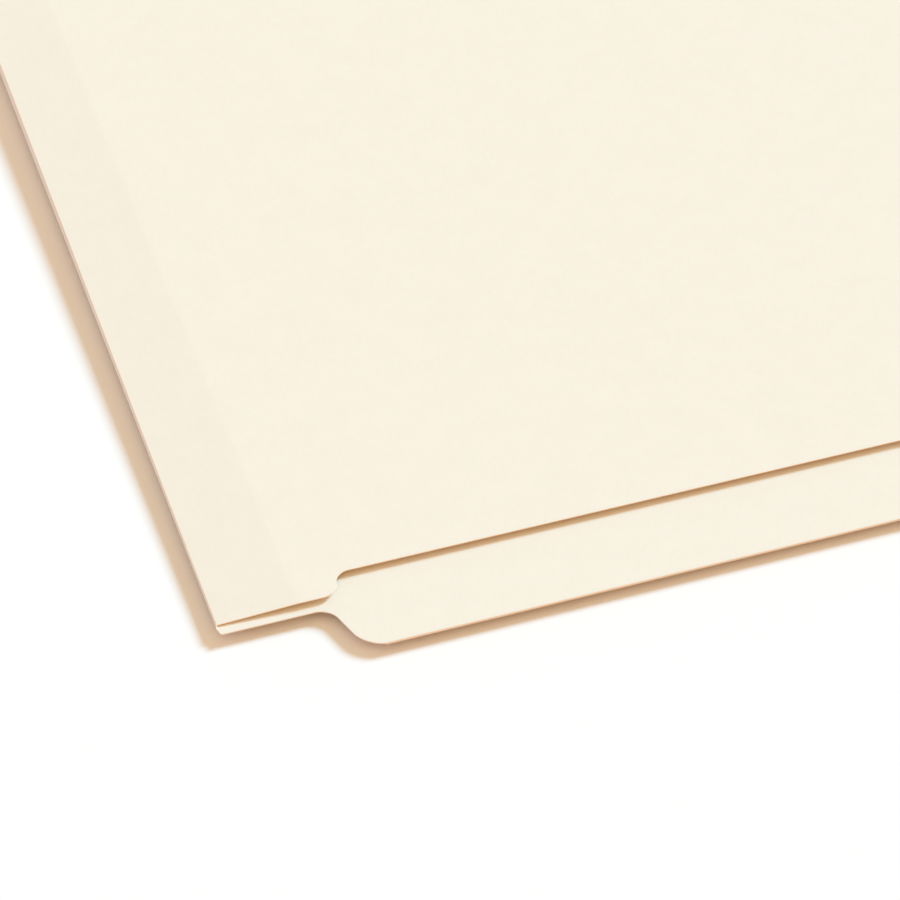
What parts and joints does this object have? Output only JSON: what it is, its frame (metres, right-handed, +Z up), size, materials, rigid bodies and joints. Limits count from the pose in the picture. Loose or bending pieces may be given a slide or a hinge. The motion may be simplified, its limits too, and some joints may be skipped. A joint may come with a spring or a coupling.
{
  "type": "fastener folder",
  "caption": "End tab fastener folder of manila board, closed: a scored cover opens on its fold, over bent prong fasteners with compressor bars and sliding locks.",
  "frame": {"origin": "centre of the closed folder's overall outline, on the plane it lies on", "axes": "+X from the fold to the free edges, +Y along the fold away from the tab, +Z up through the leaves to the front leaf"},
  "size_m": [0.242, 0.3112, 0.0047],
  "materials": {
    "manila_board": "matt 11 point manila board, faintly mottled",
    "patch_paper": "matt thin paper",
    "fastener_steel": "bright plated strip"
  },
  "bodies": {
    "back": {"back_leaf": "manila_board", "tab_ply": "manila_board", "back_patch": "patch_paper", "back_prong_base": "fastener_steel", "back_compressor": "fastener_steel"},
    "back_near_clip": {"back_lock_near": "fastener_steel"},
    "back_far_clip": {"back_lock_far": "fastener_steel"},
    "fold_crease": {"fold": "manila_board"},
    "spine_1": {"spine_strip_1": "manila_board"},
    "spine_2": {"spine_strip_2": "manila_board"},
    "spine_3": {"spine_strip_3": "manila_board"},
    "front": {"front_leaf": "manila_board", "front_patch": "patch_paper", "front_prong_base": "fastener_steel", "front_compressor": "fastener_steel"},
    "front_near_clip": {"front_lock_near": "fastener_steel"},
    "front_far_clip": {"front_lock_far": "fastener_steel"}
  },
  "joints": [
    {"name": "cover_open", "type": "hinge", "parent": "back", "child": "fold_crease", "pos_m": [-0.1203, -0.14288, 0.00061], "axis": [0, -1, -0.0051], "range_deg": [0, 180], "deforming": ["fold"]},
    {"name": "spine_expand", "type": "hinge", "parent": "fold_crease", "child": "spine_1", "pos_m": [-0.1203, -0.14288, 0.00094], "axis": [0, -0.9999, -0.0102], "range_deg": [0, 90]},
    {"name": "score_1", "type": "hinge", "parent": "spine_1", "child": "spine_2", "pos_m": [-0.1149, -0.14287, 0.00089], "axis": [0, -0.9999, -0.0102], "range_deg": [-30, 0]},
    {"name": "score_2", "type": "hinge", "parent": "spine_2", "child": "spine_3", "pos_m": [-0.1091, -0.14287, 0.00114], "axis": [0, -0.9999, -0.0102], "range_deg": [-30, 0]},
    {"name": "score_3", "type": "hinge", "parent": "spine_3", "child": "front", "pos_m": [-0.1033, -0.14288, 0.0014], "axis": [0, -0.9999, -0.0102], "range_deg": [-30, 0]},
    {"name": "back_near_lock_slide", "type": "slide", "parent": "back", "child": "back_near_clip", "axis": [1, 0, 0], "range_m": [0, 0.018]},
    {"name": "back_far_lock_slide", "type": "slide", "parent": "back", "child": "back_far_clip", "axis": [-1, 0, 0], "range_m": [0, 0.018]},
    {"name": "front_near_lock_slide", "type": "slide", "parent": "front", "child": "front_near_clip", "axis": [1, 0, 0], "range_m": [0, 0.018]},
    {"name": "front_far_lock_slide", "type": "slide", "parent": "front", "child": "front_far_clip", "axis": [-1, 0, 0], "range_m": [0, 0.018]}
  ],
  "couplings": [
    {"joint": "score_1", "follows": "spine_expand", "ratio": -0.33333},
    {"joint": "score_2", "follows": "spine_expand", "ratio": -0.33333},
    {"joint": "score_3", "follows": "spine_expand", "ratio": -0.33333}
  ]
}
